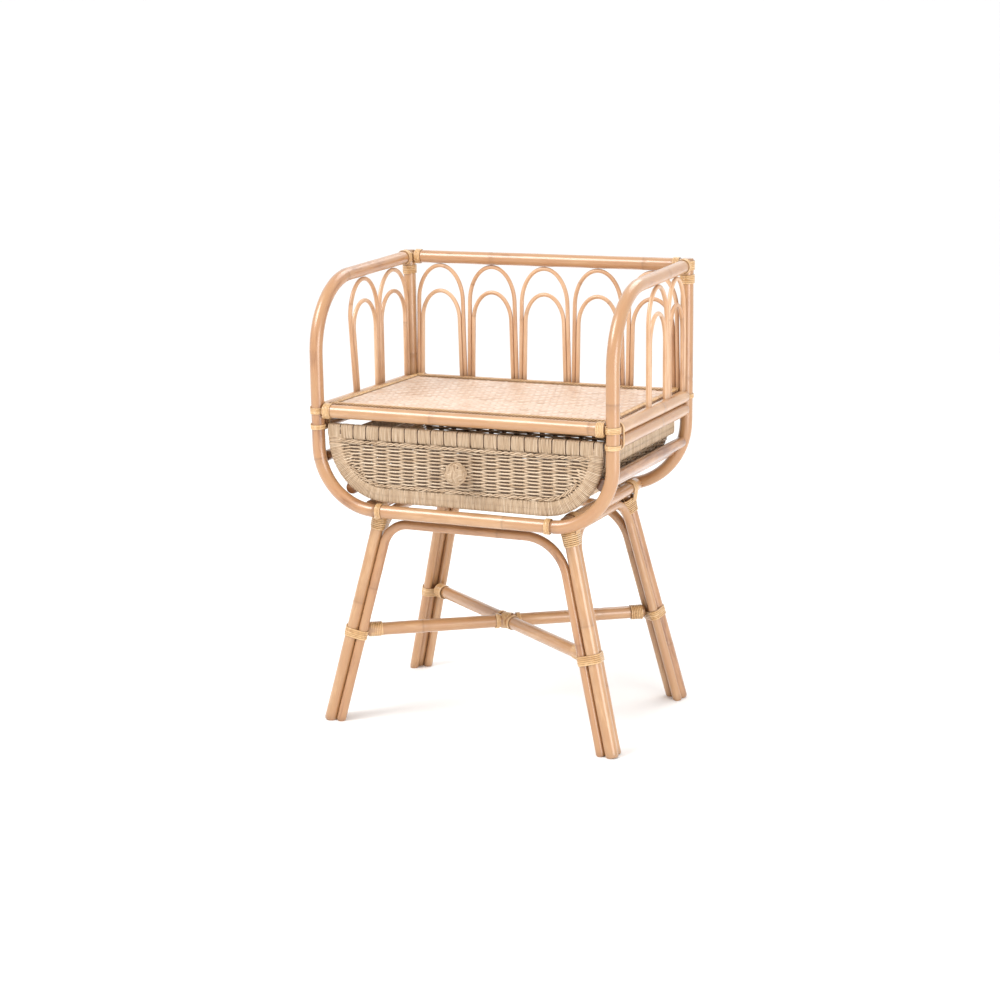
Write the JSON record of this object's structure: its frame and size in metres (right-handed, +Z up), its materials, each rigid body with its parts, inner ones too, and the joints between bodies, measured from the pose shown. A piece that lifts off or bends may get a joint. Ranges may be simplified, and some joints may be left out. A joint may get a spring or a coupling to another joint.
{
  "type": "side_table",
  "caption": "Natural rattan side table with an arched cane gallery round its woven shelf, a wicker drawer that slides out below, and splayed legs with a crossed stretcher",
  "frame": {"origin": "on the floor, at the middle of the overall box in X and Y", "axes": "X to the right of someone facing the drawer, Y to the back of the table, Z up; metres"},
  "size_m": [0.5524, 0.4093, 0.7816],
  "materials": {
    "rattan_pole": "clear-lacquered natural rattan pole, honey coloured, with darker rings at the nodes",
    "rattan_cane": "thin bent rattan cane with a satin lacquer",
    "cane_binding": "flat strands of rattan peel wound tightly round the joints, satin",
    "woven_cane": "pale flat cane strips in a diagonal twill, matte to satin",
    "wicker": "round rattan core woven over stakes, undyed, lightly lacquered"
  },
  "bodies": {
    "frame": {"back_1_inner_arch": "rattan_cane", "back_1_outer_arch": "rattan_cane", "back_2_inner_arch": "rattan_cane", "back_2_outer_arch": "rattan_cane", "back_3_inner_arch": "rattan_cane", "back_3_outer_arch": "rattan_cane", "back_4_inner_arch": "rattan_cane", "back_4_outer_arch": "rattan_cane", "back_5_inner_arch": "rattan_cane", "back_5_outer_arch": "rattan_cane", "back_left_leg": "rattan_pole", "back_left_post": "rattan_pole", "back_leg_arch": "rattan_pole", "back_right_leg": "rattan_pole", "back_right_post": "rattan_pole", "bottom_back_rail": "rattan_pole", "bottom_front_rail": "rattan_pole", "bottom_left_rail": "rattan_pole", "bottom_right_rail": "rattan_pole", "front_left_leg": "rattan_pole", "front_leg_arch": "rattan_pole", "front_right_leg": "rattan_pole", "left_1_inner_arch": "rattan_cane", "left_1_outer_arch": "rattan_cane", "left_2_inner_arch": "rattan_cane", "left_2_outer_arch": "rattan_cane", "left_drawer_runner": "rattan_pole", "left_guide_pole": "rattan_pole", "left_kicker_rail": "rattan_pole", "left_leg_arch": "rattan_pole", "left_side_pole": "rattan_pole", "right_1_inner_arch": "rattan_cane", "right_1_outer_arch": "rattan_cane", "right_2_inner_arch": "rattan_cane", "right_2_outer_arch": "rattan_cane", "right_drawer_runner": "rattan_pole", "right_guide_pole": "rattan_pole", "right_kicker_rail": "rattan_pole", "right_leg_arch": "rattan_pole", "right_side_pole": "rattan_pole", "shelf_back_rail": "rattan_pole", "shelf_front_rail": "rattan_pole", "shelf_left_rail": "rattan_pole", "shelf_panel": "woven_cane", "shelf_right_rail": "rattan_pole", "splice_wrap_back_left": "cane_binding", "splice_wrap_back_right": "cane_binding", "splice_wrap_front_left": "cane_binding", "splice_wrap_front_right": "cane_binding", "stretcher_back_left": "rattan_pole", "stretcher_front_left": "rattan_pole", "top_back_rail": "rattan_pole"},
    "drawer": {"drawer_back": "wicker", "drawer_back_rim": "wicker", "drawer_body": "wicker", "drawer_front_field": "wicker", "drawer_front_frame": "wicker", "drawer_knob": "wicker", "drawer_left_rim": "wicker", "drawer_right_rim": "wicker"}
  },
  "joints": [
    {"name": "drawer_slide", "type": "slide", "parent": "frame", "child": "drawer", "axis": [0, -1, 0], "range_m": [0, 0.24]}
  ]
}
